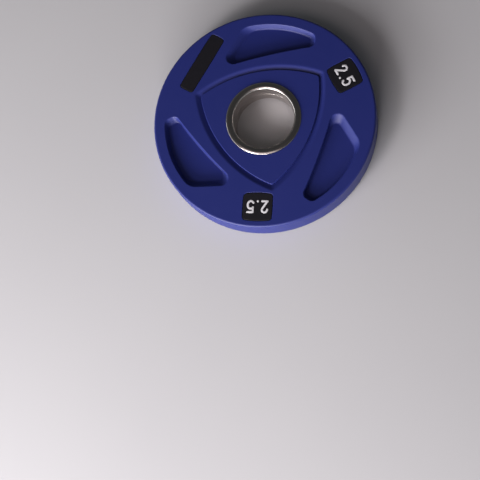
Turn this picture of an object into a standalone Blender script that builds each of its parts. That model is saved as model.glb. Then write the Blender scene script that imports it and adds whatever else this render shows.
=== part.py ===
"""Small urethane weight plate for a 50 mm bar.

A cast-iron core is moulded into a coloured urethane casing. A flanged steel sleeve is
pressed into the core from each face, and black rubber badges with white numerals are let
into both faces. Metres, +Z up. The plate lies on its rear hub flange, centred on the bore.
"""

import math

import bmesh
import bpy

MM = 0.001

# Clearance kept between two pieces that touch on the real plate
FIT = 0.3 * MM
# How far a cutter runs past the face that it cuts
PAST = 1.0 * MM
# Points of a turned profile that are closer than this are one point
MERGE_DISTANCE = 0.01 * MM

# Plate body
PLATE_R = 93.0 * MM
BODY_THICKNESS = 22.0 * MM
RIM_ROUND = 1.8 * MM
SKIN = 2.7 * MM
CORE_EDGE = 1.5 * MM

# Steel hub
BORE_R = 25.5 * MM
SLEEVE_WALL = 2.4 * MM
FLANGE_WIDTH = 6.0 * MM
HUB_FLANGE_R = BORE_R + FLANGE_WIDTH
HUB_PROUD = 1.2 * MM
HUB_OUTER_ROUND = 1.0 * MM
HUB_MOUTH_ROUND = 2.2 * MM

# What repeats round the plate
SECTORS = 3
SECTOR = 2 * math.pi / SECTORS

# Three-cornered groove of constant width round the middle pad, set in from the rim
GROOVE_MARGIN = 29.9 * MM
GROOVE_CORNER_R = PLATE_R - GROOVE_MARGIN
GROOVE_WIDTH = 2 * GROOVE_CORNER_R * math.sin(SECTOR / 2)
GROOVE_SIDE_DISTANCE = GROOVE_WIDTH - GROOVE_CORNER_R
GROOVE_TURN = math.radians(-79.5)
GROOVE_SLOPE = 4.4 * MM
GROOVE_STEP = 0.25 * MM
GROOVE_DEPTH = 1.7 * MM
GROOVE_CORNER_ROUND = 3.0 * MM

# Finger pockets: an arc along the rim, from a narrow tip to a wide end, and an edge along the groove.
# Each straight edge has an outward direction and a distance from the plate's centre.
POCKET_DEPTH = 5.0 * MM
POCKET_MARGIN = 9.5 * MM
POCKET_OUTER_R = PLATE_R - POCKET_MARGIN
POCKET_TIP_ANGLE = math.radians(62.0)
POCKET_TIP_DIRECTION = 0.0
POCKET_TIP_DISTANCE = POCKET_OUTER_R * math.cos(POCKET_TIP_ANGLE - POCKET_TIP_DIRECTION)
POCKET_WIDE_ANGLE = math.radians(106.1)
POCKET_WIDE_DIRECTION = math.radians(153.4)
POCKET_WIDE_DISTANCE = POCKET_OUTER_R * math.cos(POCKET_WIDE_ANGLE - POCKET_WIDE_DIRECTION)
POCKET_LAND = 7.0 * MM
POCKET_INNER_DIRECTION = math.radians(283.4)
POCKET_INNER_DISTANCE = -GROOVE_SIDE_DISTANCE - POCKET_LAND
POCKET_INNER_BULGE = 1.1 * MM
# How far each wall leans in from the mouth to the floor
INNER_WALL_RUN = 0.8 * MM
TIP_WALL_RUN = 3.8 * MM
OUTER_WALL_RUN = 2.4 * MM
WIDE_WALL_RUN = 5.4 * MM
# Corner radii in plan, at the mouth and at the floor
WIDE_INNER_CORNER = 6.3 * MM
TIP_CORNER = 5.4 * MM
# The tip's corners take at most this share of the tip wall
TIP_CORNER_SHARE = 0.68
WIDE_OUTER_CORNER = 12.0 * MM
FLOOR_CORNER_CUT = 0.8 * MM
POCKET_LIP = 0.5 * MM
POCKET_FILLET = 0.8 * MM

# Urethane keys that pass through the core and tie the two skins together
KEY_R = 5.0 * MM

# Badges
BADGE_MARGIN = 6.6 * MM
BADGE_TURN = math.radians(-90)
BADGE_WIDTH = 23.6 * MM
BADGE_HEIGHT = 21.4 * MM
BADGE_RADIUS = PLATE_R - BADGE_MARGIN - BADGE_HEIGHT / 2
BADGE_THICKNESS = 1.7 * MM
BADGE_SIDE_BOW = 0.4 * MM
BADGE_END_BOW = 1.1 * MM
BADGE_CORNER = 1.8 * MM
NUMBERED_SECTORS = 2
LONG_BADGE_WIDTH = 52.6 * MM
LONG_BADGE_HEIGHT = 12.4 * MM
LONG_BADGE_END_BOW = 0.3 * MM
LONG_BADGE_MARGIN = 12.8 * MM
LONG_BADGE_RADIUS = PLATE_R - LONG_BADGE_MARGIN - LONG_BADGE_HEIGHT / 2
LONG_BADGE_LAG = math.radians(11.2)
LONG_BADGE_TILT = math.radians(2.8)

# Numerals inlaid in the badges, drawn with a round-ended stroke
NUMERAL_HEIGHT = 11.0 * MM
NUMERAL_WIDTH = 6.0 * MM
NUMERAL_STROKE = 1.65 * MM
NUMERAL_THICKNESS = 0.8 * MM
# Each digit stands in the middle of its half of the badge
NUMERAL_SPREAD = BADGE_WIDTH / 4
POINT_R = 0.9 * MM
TWO_HOOK_END = math.radians(187)
# Clear height between the 5's flag and its bowl
FIVE_NOTCH = 1.35 * MM
FIVE_BOWL_HEIGHT = NUMERAL_HEIGHT - NUMERAL_STROKE - FIVE_NOTCH
FIVE_BOWL_SHIFT = 0.3 * MM
FIVE_HOOK_END = math.radians(-148)

# Faceting
RIM_STEPS = 96
HUB_STEPS = 60
CORE_STEPS = 60
CORNER_STEPS = 4
ARC_STEPS = 8
PROFILE_STEPS = 3

# Heights
REAR_FACE = HUB_PROUD
FRONT_FACE = REAR_FACE + BODY_THICKNESS
MIDDLE = (REAR_FACE + FRONT_FACE) / 2
FRONT = 1
REAR = -1
SIDE_NAMES = {FRONT: "front", REAR: "rear"}


def face_height(side, rise=0.0):
    """Height of the front or rear face, moved out of the plate by rise."""
    return MIDDLE + side * (BODY_THICKNESS / 2 + rise)


def turned_point(x, y, angle):
    return (x * math.cos(angle) - y * math.sin(angle), x * math.sin(angle) + y * math.cos(angle))


def arc(centre, radii, start, end, steps):
    """Points from start to end, both included, about a centre."""
    found = []
    for i in range(steps + 1):
        angle = start + (end - start) * i / steps
        found.append((centre[0] + radii[0] * math.cos(angle), centre[1] + radii[1] * math.sin(angle)))
    return found


def round_arc(centre, radius, start, end, steps):
    return arc(centre, (radius, radius), start, end, steps)


def clear_scene():
    for obj in list(bpy.data.objects):
        bpy.data.objects.remove(obj)


def new_collection(name, parent):
    collection = bpy.data.collections.new(name)
    parent.children.link(collection)
    return collection


def add_object(name, mesh, collection):
    obj = bpy.data.objects.new(name, mesh)
    collection.objects.link(obj)
    return obj


def shade_round(obj, sharp_above=math.radians(32)):
    obj.data.shade_smooth()
    obj.data.set_sharp_from_angle(angle=sharp_above)


def as_cutter(obj):
    obj.hide_render = True
    obj.display_type = "WIRE"
    return obj


def finish(name, colour, roughness, metallic):
    material = bpy.data.materials.new(name)
    material.use_nodes = True
    shader = material.node_tree.nodes["Principled BSDF"]
    shader.inputs["Base Color"].default_value = (*colour, 1.0)
    shader.inputs["Roughness"].default_value = roughness
    shader.inputs["Metallic"].default_value = metallic
    return material


def turned(name, profile, steps, collection):
    """A closed profile of (radius, height) points, listed down its outer side, turned about Z."""
    mesh = bpy.data.meshes.new(name)
    edges = [(i, (i + 1) % len(profile)) for i in range(len(profile))]
    mesh.from_pydata([(radius, 0.0, height) for radius, height in profile], edges, [])
    obj = add_object(name, mesh, collection)
    screw = obj.modifiers.new("turn", "SCREW")
    screw.steps = steps
    screw.render_steps = steps
    screw.use_smooth_shade = True
    screw.use_merge_vertices = True
    screw.merge_threshold = MERGE_DISTANCE
    return obj


def lofted(name, rings, collection, closed_section=False):
    """A skin over rings of points. It is capped, or it closes on itself as a ring-shaped solid."""
    shape = bmesh.new()
    loops = [[shape.verts.new(point) for point in ring] for ring in rings]
    if closed_section:
        pairs = zip(loops, loops[1:] + loops[:1])
    else:
        pairs = zip(loops, loops[1:])
        shape.faces.new(loops[0])
        shape.faces.new(loops[-1])
    for here, there in pairs:
        for i in range(len(here)):
            j = (i + 1) % len(here)
            shape.faces.new((here[i], here[j], there[j], there[i]))
    bmesh.ops.recalc_face_normals(shape, faces=shape.faces)
    mesh = bpy.data.meshes.new(name)
    shape.to_mesh(mesh)
    shape.free()
    return add_object(name, mesh, collection)


def slab(name, outline, low, high, collection):
    """A flat piece with a plan outline between two heights."""
    rings = [[(x, y, height) for x, y in outline] for height in (low, high)]
    return lofted(name, rings, collection)


def cut(obj, label, cutters):
    """Takes one object, or every object of a collection, away from obj."""
    modifier = obj.modifiers.new(label, "BOOLEAN")
    modifier.operation = "DIFFERENCE"
    modifier.solver = "EXACT"
    if isinstance(cutters, bpy.types.Collection):
        modifier.operand_type = "COLLECTION"
        modifier.collection = cutters
    else:
        modifier.object = cutters


def grown(outline, distance):
    """A counter-clockwise outline moved outwards, with its corners kept sharp."""
    found = []
    for i, here in enumerate(outline):
        before = outline[i - 1]
        after = outline[(i + 1) % len(outline)]
        first = math.atan2(here[1] - before[1], here[0] - before[0])
        turn = math.atan2(after[1] - here[1], after[0] - here[0]) - first
        half_turn = math.remainder(turn, 2 * math.pi) / 2
        outward = first + half_turn - math.pi / 2
        reach = distance / math.cos(half_turn)
        found.append((here[0] + reach * math.cos(outward), here[1] + reach * math.sin(outward)))
    return found


# Outlines in plan


def triangle_outline(inset, corner):
    """The groove's constant-width triangle, moved in by inset, with round corners."""
    reach = GROOVE_WIDTH - inset - corner
    to_corner = (math.sqrt(4 * reach**2 - 3 * GROOVE_CORNER_R**2) - GROOVE_CORNER_R) / 2
    corners = []
    centres = []
    for k in range(SECTORS):
        angle = GROOVE_TURN + k * SECTOR
        corners.append((to_corner * math.cos(angle), to_corner * math.sin(angle)))
        centres.append((GROOVE_CORNER_R * math.cos(angle), GROOVE_CORNER_R * math.sin(angle)))
    outline = []
    for k in range(SECTORS):
        here = corners[k]
        following = corners[(k + 1) % SECTORS]
        opposite = centres[(k + 2) % SECTORS]
        before = centres[(k + 1) % SECTORS]
        arrive = math.atan2(here[1] - before[1], here[0] - before[0])
        leave = math.atan2(here[1] - opposite[1], here[0] - opposite[0])
        leave = arrive + math.remainder(leave - arrive, 2 * math.pi)
        end = math.atan2(following[1] - opposite[1], following[0] - opposite[0])
        end = leave + math.remainder(end - leave, 2 * math.pi)
        outline += round_arc(here, corner, arrive, leave, CORNER_STEPS)
        outline += round_arc(opposite, reach + corner, leave, end, ARC_STEPS + 2)[1:-1]
    return outline


def line_corner(first, second, radius):
    """Centre of the round corner between two straight edges, each (direction, distance)."""
    a, d = first[0], first[1] - radius
    b, e = second[0], second[1] - radius
    spread = math.sin(b - a)
    x = (d * math.sin(b) - e * math.sin(a)) / spread
    y = (e * math.cos(a) - d * math.cos(b)) / spread
    return (x, y)


def arc_corner(edge, arc_radius, radius, hand):
    """Centre of the round corner between a straight edge and an arc about the plate's centre."""
    direction, distance = edge[0], edge[1] - radius
    along = hand * math.sqrt((arc_radius - radius) ** 2 - distance**2)
    return turned_point(distance, along, direction)


def tip_wall_length(inner, tip, outer_r):
    """Length of the tip wall's edge, from the inner edge to the outer arc."""
    start = line_corner(inner, tip, 0.0)
    end = arc_corner(tip, outer_r, 0.0, 1)
    return math.dist(start, end)


def pocket_outline(depth_share, grow):
    """One finger pocket at a share of its depth, moved outwards by grow, counter-clockwise."""
    inner = (POCKET_INNER_DIRECTION, POCKET_INNER_DISTANCE - INNER_WALL_RUN * depth_share + grow)
    tip = (POCKET_TIP_DIRECTION, POCKET_TIP_DISTANCE - TIP_WALL_RUN * depth_share + grow)
    wide = (POCKET_WIDE_DIRECTION, POCKET_WIDE_DISTANCE - WIDE_WALL_RUN * depth_share + grow)
    outer_r = POCKET_OUTER_R - OUTER_WALL_RUN * depth_share + grow
    change = grow - FLOOR_CORNER_CUT * depth_share
    wide_inner_r = WIDE_INNER_CORNER + change
    wide_outer_r = WIDE_OUTER_CORNER + change
    tip_wall = tip_wall_length(inner, tip, outer_r)
    tip_r = min(TIP_CORNER + change, tip_wall * TIP_CORNER_SHARE)

    wide_inner = line_corner(wide, inner, wide_inner_r)
    tip_inner = line_corner(inner, tip, tip_r)
    tip_outer = arc_corner(tip, outer_r, tip_r, 1)
    wide_outer = arc_corner(wide, outer_r, wide_outer_r, -1)
    tip_angle = math.atan2(tip_outer[1], tip_outer[0])
    wide_angle = math.atan2(wide_outer[1], wide_outer[0])
    full = 2 * math.pi

    first = round_arc(wide_inner, wide_inner_r, wide[0], inner[0], CORNER_STEPS + 2)
    second = round_arc(tip_inner, tip_r, inner[0], tip[0] + full, CORNER_STEPS)
    inner_edge = []
    for i in range(1, ARC_STEPS):
        share = i / ARC_STEPS
        bulge = 4 * share * (1 - share) * POCKET_INNER_BULGE
        x = first[-1][0] + (second[0][0] - first[-1][0]) * share - bulge * math.cos(inner[0])
        y = first[-1][1] + (second[0][1] - first[-1][1]) * share - bulge * math.sin(inner[0])
        inner_edge.append((x, y))
    third = round_arc(tip_outer, tip_r, tip[0], tip_angle, CORNER_STEPS)
    outer_edge = round_arc((0.0, 0.0), outer_r, tip_angle, wide_angle, ARC_STEPS)[1:-1]
    fourth = round_arc(wide_outer, wide_outer_r, wide_angle, wide[0], CORNER_STEPS)
    return first + inner_edge + second + third + outer_edge + fourth


def badge_outline(width, height, end_bow):
    """A rounded rectangle about (0, 0) whose sides bow outwards, counter-clockwise."""
    half_w = width / 2
    half_h = height / 2
    outline = []
    for quarter, (sx, sy) in enumerate(((1, -1), (1, 1), (-1, 1), (-1, -1))):
        centre = (sx * (half_w - BADGE_CORNER), sy * (half_h - BADGE_CORNER))
        start = (quarter - 1) * math.pi / 2
        outline += round_arc(centre, BADGE_CORNER, start, start + math.pi / 2, CORNER_STEPS)
        out, along = (half_w, half_h) if quarter % 2 == 0 else (half_h, half_w)
        for share in (-0.5, 0.0, 0.5):
            outline.append(turned_point(out, share * along, start + math.pi / 2))
    bowed = []
    for x, y in outline:
        side_share = BADGE_SIDE_BOW / half_w * (1 - (y / half_h) ** 2)
        end_share = end_bow / half_h * (1 - (x / half_w) ** 2)
        bowed.append((x * (1 + side_share), y * (1 + end_share)))
    return bowed


def two_outline():
    """The numeral 2 about (0, 0), counter-clockwise."""
    half = NUMERAL_STROKE / 2
    crown_r = NUMERAL_WIDTH / 2 - half
    crown = (0.0, NUMERAL_HEIGHT / 2 - half - crown_r)
    base = half - NUMERAL_HEIGHT / 2
    heel = (-crown_r, base)
    to_crown = math.atan2(crown[1] - heel[1], crown[0] - heel[0])
    lean = to_crown - math.asin(crown_r / math.dist(crown, heel))
    leave = lean - math.pi / 2
    hook = (crown[0] + crown_r * math.cos(TWO_HOOK_END), crown[1] + crown_r * math.sin(TWO_HOOK_END))
    climb = half * (1 - math.sin(leave)) / math.sin(lean)
    crotch = (heel[0] + half * math.cos(leave) + climb * math.cos(lean), base + half)
    return (
        round_arc(crown, crown_r + half, leave, TWO_HOOK_END, 2 * CORNER_STEPS + 2)
        + round_arc(hook, half, TWO_HOOK_END, TWO_HOOK_END + math.pi, CORNER_STEPS)[1:-1]
        + round_arc(crown, crown_r - half, TWO_HOOK_END, leave, 2 * CORNER_STEPS)
        + round_arc(heel, half, lean + math.pi / 2, 1.5 * math.pi, PROFILE_STEPS)
        + round_arc((crown_r, base), half, -math.pi / 2, math.pi / 2, CORNER_STEPS)
        + [crotch]
    )


def five_outline():
    """The numeral 5 about (0, 0), counter-clockwise."""
    half = NUMERAL_STROKE / 2
    reach = NUMERAL_WIDTH / 2 - half
    flag = NUMERAL_HEIGHT / 2 - half
    radii = (reach + FIVE_BOWL_SHIFT, FIVE_BOWL_HEIGHT / 2 - half)
    bowl = (-FIVE_BOWL_SHIFT, half + radii[1] - NUMERAL_HEIGHT / 2)
    outside = (radii[0] + half, radii[1] + half)
    inside = (radii[0] - half, radii[1] - half)
    crotch = math.acos((half - reach - bowl[0]) / outside[0])
    join = math.acos((-reach - bowl[0]) / radii[0])
    stem_end = (-reach, bowl[1] + radii[1] * math.sin(join))
    hook = (bowl[0] + radii[0] * math.cos(FIVE_HOOK_END), bowl[1] + radii[1] * math.sin(FIVE_HOOK_END))
    return (
        arc(bowl, outside, FIVE_HOOK_END, crotch, 2 * CORNER_STEPS + 4)
        + [(half - reach, flag - half)]
        + round_arc((reach, flag), half, -math.pi / 2, math.pi / 2, CORNER_STEPS)
        + [(-reach - half, flag + half)]
        + round_arc(stem_end, half, math.pi, math.pi + join, CORNER_STEPS)[:-1]
        + arc(bowl, inside, join, FIVE_HOOK_END, 2 * CORNER_STEPS + 2)
        + round_arc(hook, half, FIVE_HOOK_END + math.pi, FIVE_HOOK_END + 2 * math.pi, CORNER_STEPS)[1:-1]
    )


# Pieces


def badge_places(side):
    """For each sector: name, outline, and a function that puts a badge's point on the plate."""
    for sector in range(SECTORS):
        angle = BADGE_TURN + sector * SECTOR
        if sector < NUMBERED_SECTORS:
            name = f"{SIDE_NAMES[side]}_number_badge_{sector + 1}"
            outline = badge_outline(BADGE_WIDTH, BADGE_HEIGHT, BADGE_END_BOW)
            centre = (BADGE_RADIUS * math.cos(angle), BADGE_RADIUS * math.sin(angle))
            turn = angle
        else:
            name = f"{SIDE_NAMES[side]}_plain_badge"
            outline = badge_outline(LONG_BADGE_WIDTH, LONG_BADGE_HEIGHT, LONG_BADGE_END_BOW)
            lagged = angle - LONG_BADGE_LAG
            centre = (LONG_BADGE_RADIUS * math.cos(lagged), LONG_BADGE_RADIUS * math.sin(lagged))
            turn = angle + LONG_BADGE_TILT
        yield sector, name, outline, centre, turn


def on_plate(points, centre, turn, reading_side=FRONT):
    """Badge points, x to the reader's right and y away from the bore, as plate points."""
    placed = []
    for x, y in points:
        dx, dy = turned_point(y, -x * reading_side, turn)
        placed.append((centre[0] + dx, centre[1] + dy))
    return placed


def make_sleeve(side, material, collection):
    """A flanged half of the hub. Its flange seats on the core, and its tube ends at the middle."""
    wall_r = BORE_R + SLEEVE_WALL
    top = face_height(side, HUB_PROUD)
    seat = face_height(side, FIT - SKIN)
    end = MIDDLE + side * FIT / 2
    flange = round_arc(
        (HUB_FLANGE_R - HUB_OUTER_ROUND, top - side * HUB_OUTER_ROUND),
        HUB_OUTER_ROUND,
        side * math.pi / 2,
        0.0,
        PROFILE_STEPS,
    )
    mouth = round_arc(
        (BORE_R + HUB_MOUTH_ROUND, top - side * HUB_MOUTH_ROUND),
        HUB_MOUTH_ROUND,
        side * math.pi,
        side * math.pi / 2,
        PROFILE_STEPS,
    )
    profile = flange + [(HUB_FLANGE_R, seat), (wall_r, seat), (wall_r, end), (BORE_R, end)] + mouth
    if side == REAR:
        profile.reverse()
    sleeve = turned(f"{SIDE_NAMES[side]}_hub_sleeve", profile, HUB_STEPS, collection)
    sleeve.data.materials.append(material)
    return sleeve


def make_core_shape(name, gap, collection, cutters):
    """The core, or with no gap the hollow that it fills, with room for pockets and keys."""
    outer_r = PLATE_R - SKIN - gap
    inner_r = BORE_R + SLEEVE_WALL + FIT
    if not gap:
        inner_r -= PAST
    high = FRONT_FACE - SKIN - gap
    low = REAR_FACE + SKIN + gap
    profile = [
        (inner_r, high),
        (outer_r - CORE_EDGE, high),
        (outer_r, high - CORE_EDGE),
        (outer_r, low + CORE_EDGE),
        (outer_r - CORE_EDGE, low),
        (inner_r, low),
    ]
    shape = turned(name, profile, CORE_STEPS, collection)
    recesses = new_collection(f"{name}_recesses", cutters)
    wall = SKIN + gap
    for side in (FRONT, REAR):
        for sector in range(SECTORS):
            rings = []
            for share, rise in ((0.0, PAST), (0.0, -SKIN), (1.0, -POCKET_DEPTH - wall)):
                outline = pocket_outline(share, wall)
                height = face_height(side, rise)
                turned_outline = [turned_point(x, y, sector * SECTOR) for x, y in outline]
                rings.append([(x, y, height) for x, y in turned_outline])
            as_cutter(lofted(f"{name}_{SIDE_NAMES[side]}_recess_{sector + 1}", rings, recesses))
    for sector in range(SECTORS):
        angle = BADGE_TURN + sector * SECTOR
        centre = (BADGE_RADIUS * math.cos(angle), BADGE_RADIUS * math.sin(angle))
        ring = round_arc(centre, KEY_R + gap, 0.0, 2 * math.pi, 5 * CORNER_STEPS)[:-1]
        key = slab(f"{name}_key_{sector + 1}", ring, low - PAST, high + PAST, recesses)
        as_cutter(key)
    cut(shape, "recesses", recesses)
    return shape


def make_pocket_cutter(side, sector, collection):
    """Cuts one finger pocket: an eased lip, leaning walls and a filleted floor."""
    lip_share = POCKET_LIP / POCKET_DEPTH
    fillet_share = 1 - POCKET_FILLET / POCKET_DEPTH
    levels = (
        (0.0, POCKET_LIP, PAST),
        (0.0, POCKET_LIP, 0.0),
        (lip_share, 0.0, -POCKET_LIP),
        (fillet_share, 0.0, POCKET_FILLET - POCKET_DEPTH),
        (1.0, -POCKET_FILLET / 2, -POCKET_DEPTH),
    )
    rings = []
    for share, grow, rise in levels:
        outline = [turned_point(x, y, sector * SECTOR) for x, y in pocket_outline(share, grow)]
        rings.append([(x, y, face_height(side, rise)) for x, y in outline])
    return as_cutter(lofted(f"{SIDE_NAMES[side]}_pocket_{sector + 1}", rings, collection))


def make_groove_cutter(side, collection):
    """Cuts the groove: a long slope down from the outside and a short step up to the pad."""
    slope_past = GROOVE_SLOPE * PAST / GROOVE_DEPTH
    step_past = GROOVE_STEP * PAST / GROOVE_DEPTH
    section = (
        (-slope_past, PAST),
        (GROOVE_SLOPE, -GROOVE_DEPTH),
        (GROOVE_SLOPE + GROOVE_STEP + step_past, PAST),
    )
    rings = []
    for inset, rise in section:
        outline = triangle_outline(inset, GROOVE_CORNER_ROUND)
        rings.append([(x, y, face_height(side, rise)) for x, y in outline])
    name = f"{SIDE_NAMES[side]}_groove"
    return as_cutter(lofted(name, rings, collection, closed_section=True))


def make_casing(material, collection, cutters):
    """The moulded urethane: both faces and the rim, open only round the hub."""
    seat_r = HUB_FLANGE_R + FIT
    bend_r = PLATE_R - RIM_ROUND
    upper = round_arc((bend_r, FRONT_FACE - RIM_ROUND), RIM_ROUND, math.pi / 2, 0.0, PROFILE_STEPS)
    lower = round_arc((bend_r, REAR_FACE + RIM_ROUND), RIM_ROUND, 0.0, -math.pi / 2, PROFILE_STEPS)
    profile = [(seat_r, FRONT_FACE)] + upper + lower + [(seat_r, REAR_FACE)]
    casing = turned("urethane_casing", profile, RIM_STEPS, collection)
    casing.data.materials.append(material)

    cuts = new_collection("casing_cuts", cutters)
    for side in (FRONT, REAR):
        make_groove_cutter(side, cuts)
        for sector in range(SECTORS):
            make_pocket_cutter(side, sector, cuts)
        for sector, name, outline, centre, turn in badge_places(side):
            seat = on_plate(grown(outline, FIT), centre, turn)
            depth = face_height(side, -BADGE_THICKNESS - FIT)
            as_cutter(slab(f"{name}_seat", seat, depth, face_height(side, PAST), cuts))
    cut(casing, "faces", cuts)
    hollow = as_cutter(make_core_shape("core_hollow", 0.0, cutters, cutters))
    cut(casing, "hollow", hollow)
    return casing


def make_core(material, collection, cutters):
    """The cast-iron core that gives the plate its weight."""
    core = make_core_shape("iron_core", FIT, collection, cutters)
    core.data.materials.append(material)
    return core


def numeral_outlines():
    """Name and outline of each numeral of a badge, about the badge's middle."""
    point = round_arc((0.0, POINT_R - NUMERAL_HEIGHT / 2), POINT_R, 0.0, 2 * math.pi, 4 * CORNER_STEPS)
    return (
        ("digit_two", [(x - NUMERAL_SPREAD, y) for x, y in two_outline()]),
        ("decimal_point", point[:-1]),
        ("digit_five", [(x + NUMERAL_SPREAD, y) for x, y in five_outline()]),
    )


def make_badges(side, rubber, white, collection, cutters):
    """The badges of one face, and the numerals inlaid in those that carry a number."""
    face = face_height(side)
    for sector, name, outline, centre, turn in badge_places(side):
        under = face_height(side, -BADGE_THICKNESS)
        badge = slab(name, on_plate(outline, centre, turn), under, face, collection)
        badge.data.materials.append(rubber)
        if sector >= NUMBERED_SECTORS:
            continue
        recesses = new_collection(f"{name}_recesses", cutters)
        for label, shape in numeral_outlines():
            recess = on_plate(grown(shape, FIT), centre, turn, side)
            floor = face_height(side, -NUMERAL_THICKNESS - FIT)
            past = face_height(side, PAST)
            as_cutter(slab(f"{name}_{label}_recess", recess, floor, past, recesses))
            plan = on_plate(shape, centre, turn, side)
            back = face_height(side, -NUMERAL_THICKNESS)
            numeral_name = f"{SIDE_NAMES[side]}_{label}_{sector + 1}"
            numeral = slab(numeral_name, plan, back, face, collection)
            numeral.data.materials.append(white)
            shade_round(numeral)
        cut(badge, "numerals", recesses)
        shade_round(badge)


def main():
    clear_scene()
    plate = new_collection("urethane_weight_plate", bpy.context.scene.collection)
    cutters = new_collection("cutters", bpy.context.scene.collection)
    blue = finish("blue_urethane", (0.025, 0.035, 0.22), 0.45, 0.0)
    iron = finish("cast_iron", (0.09, 0.09, 0.09), 0.7, 1.0)
    steel = finish("stainless_steel", (0.6, 0.59, 0.57), 0.22, 1.0)
    rubber = finish("black_rubber", (0.02, 0.018, 0.02), 0.6, 0.0)
    white = finish("white_rubber", (0.85, 0.85, 0.87), 0.5, 0.0)

    make_casing(blue, plate, cutters)
    make_core(iron, plate, cutters)
    for side in (FRONT, REAR):
        make_sleeve(side, steel, plate)
        make_badges(side, rubber, white, plate, cutters)


main()
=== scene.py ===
import math

import bmesh
import bpy
from mathutils import Matrix, Vector


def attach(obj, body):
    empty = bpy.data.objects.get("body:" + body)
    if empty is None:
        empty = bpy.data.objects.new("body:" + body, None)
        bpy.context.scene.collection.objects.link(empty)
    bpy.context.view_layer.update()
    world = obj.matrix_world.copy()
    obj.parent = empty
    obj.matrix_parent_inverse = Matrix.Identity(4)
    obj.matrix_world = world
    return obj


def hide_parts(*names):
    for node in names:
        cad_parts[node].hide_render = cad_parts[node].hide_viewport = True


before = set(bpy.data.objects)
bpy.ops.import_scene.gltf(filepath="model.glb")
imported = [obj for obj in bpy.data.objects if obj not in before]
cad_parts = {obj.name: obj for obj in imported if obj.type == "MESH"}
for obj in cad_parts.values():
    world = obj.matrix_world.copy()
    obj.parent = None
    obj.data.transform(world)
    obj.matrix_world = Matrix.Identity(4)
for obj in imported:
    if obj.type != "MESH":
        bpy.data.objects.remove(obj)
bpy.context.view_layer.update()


# Iron core
# The real core is one grey iron casting that gives the plate its weight. The urethane is
# moulded all round it, so nothing of it shows. Its CAD solid stays, with an as-cast finish.

MM = 0.001
IRON_DARK = (0.045, 0.043, 0.042)
IRON_PALE = (0.115, 0.108, 0.102)
IRON_RUST = (0.11, 0.06, 0.035)
IRON_METALLIC = 0.85
IRON_ROUGHNESS = 0.62
SAND_DEPTH = 0.25 * MM


class Signal:
    """One socket of a material. Arithmetic on it adds Math nodes."""

    def __init__(self, tree, socket=None):
        self.tree = tree
        self.socket = socket

    def node(self, kind, settings, inputs, output=0):
        """Adds a node: its settings first, then its sockets' values or links."""
        made = self.tree.nodes.new(kind)
        for name, value in settings.items():
            setattr(made, name, value)
        for name, value in inputs.items():
            if isinstance(value, Signal):
                self.tree.links.new(value.socket, made.inputs[name])
            else:
                made.inputs[name].default_value = value
        return Signal(self.tree, made.outputs[output])

    def maths(self, operation, *values):
        return self.node("ShaderNodeMath", {"operation": operation}, dict(enumerate(values)))

    def __add__(self, other):
        return self.maths("ADD", self, other)

    def __radd__(self, other):
        return self.maths("ADD", other, self)

    def __sub__(self, other):
        return self.maths("SUBTRACT", self, other)

    def __rsub__(self, other):
        return self.maths("SUBTRACT", other, self)

    def __mul__(self, other):
        return self.maths("MULTIPLY", self, other)

    def __rmul__(self, other):
        return self.maths("MULTIPLY", other, self)

    def __truediv__(self, other):
        return self.maths("DIVIDE", self, other)

    def __pow__(self, other):
        return self.maths("POWER", self, other)

    def clamped(self, low, high):
        return self.node("ShaderNodeClamp", {}, {"Value": self, "Min": low, "Max": high})

    def noise(self, place, per_mm, detail=2.0, roughness=0.5):
        """Noise whose grains are about 1 / per_mm millimetres across."""
        sockets = {"Vector": place, "Scale": per_mm / MM, "Detail": detail, "Roughness": roughness}
        return self.node("ShaderNodeTexNoise", {}, sockets, "Fac")

    def mixed(self, share, first, second):
        """A colour between two colours."""
        inputs = {"Factor": share, "A": first, "B": second}
        made = self.tree.nodes.new("ShaderNodeMix")
        made.data_type = "RGBA"
        for socket in made.inputs:
            if not socket.enabled:
                continue
            value = inputs[socket.name]
            if isinstance(value, Signal):
                self.tree.links.new(value.socket, socket)
            elif socket.type == "RGBA":
                socket.default_value = (*value, 1.0)
            else:
                socket.default_value = value
        return Signal(self.tree, next(socket for socket in made.outputs if socket.enabled))

    def parts(self):
        """The three parts of a place or of a direction."""
        split = self.tree.nodes.new("ShaderNodeSeparateXYZ")
        self.tree.links.new(self.socket, split.inputs[0])
        return [Signal(self.tree, output) for output in split.outputs]

    def bumped(self, height, depth, strength=1.0):
        """A normal from a height of 0 to 1 that stands for depth in metres."""
        sockets = {"Strength": strength, "Distance": depth, "Height": height}
        return self.node("ShaderNodeBump", {}, sockets)


def new_finish(name, uniform):
    """A material, its shader with its uniform values set, and a Signal on its object space."""
    material = bpy.data.materials.new(name)
    material.use_nodes = True
    shader = material.node_tree.nodes["Principled BSDF"]
    for socket, value in uniform.items():
        shader.inputs[socket].default_value = value
    start = Signal(material.node_tree)
    place = start.node("ShaderNodeTexCoord", {}, {}, "Object")
    place = place.node("ShaderNodeMapping", {}, {"Vector": place})
    return material, shader, place


def feed(shader, **signals):
    """Links signals to the shader's sockets, with _ for a space in a socket's name."""
    for name, signal in signals.items():
        signal.tree.links.new(signal.socket, shader.inputs[name.replace("_", " ")])


def as_cast_iron():
    """Sandy grey iron with a little rust in patches."""
    material, shader, place = new_finish("as_cast_iron", {"Metallic": IRON_METALLIC})
    sand = place.noise(place, 1.1, 6.0, 0.62)
    patches = place.noise(place, 0.06, 4.0)
    iron = place.mixed(sand, IRON_DARK, IRON_PALE)
    iron = place.mixed((patches - 0.55).clamped(0.0, 1.0) * 2.2, iron, IRON_RUST)
    roughness = IRON_ROUGHNESS + sand * 0.3
    feed(shader, Base_Color=iron, Roughness=roughness, Normal=place.bumped(sand, SAND_DEPTH))
    return material


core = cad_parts["iron_core"]
core.material_slots[0].material = as_cast_iron()


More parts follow.
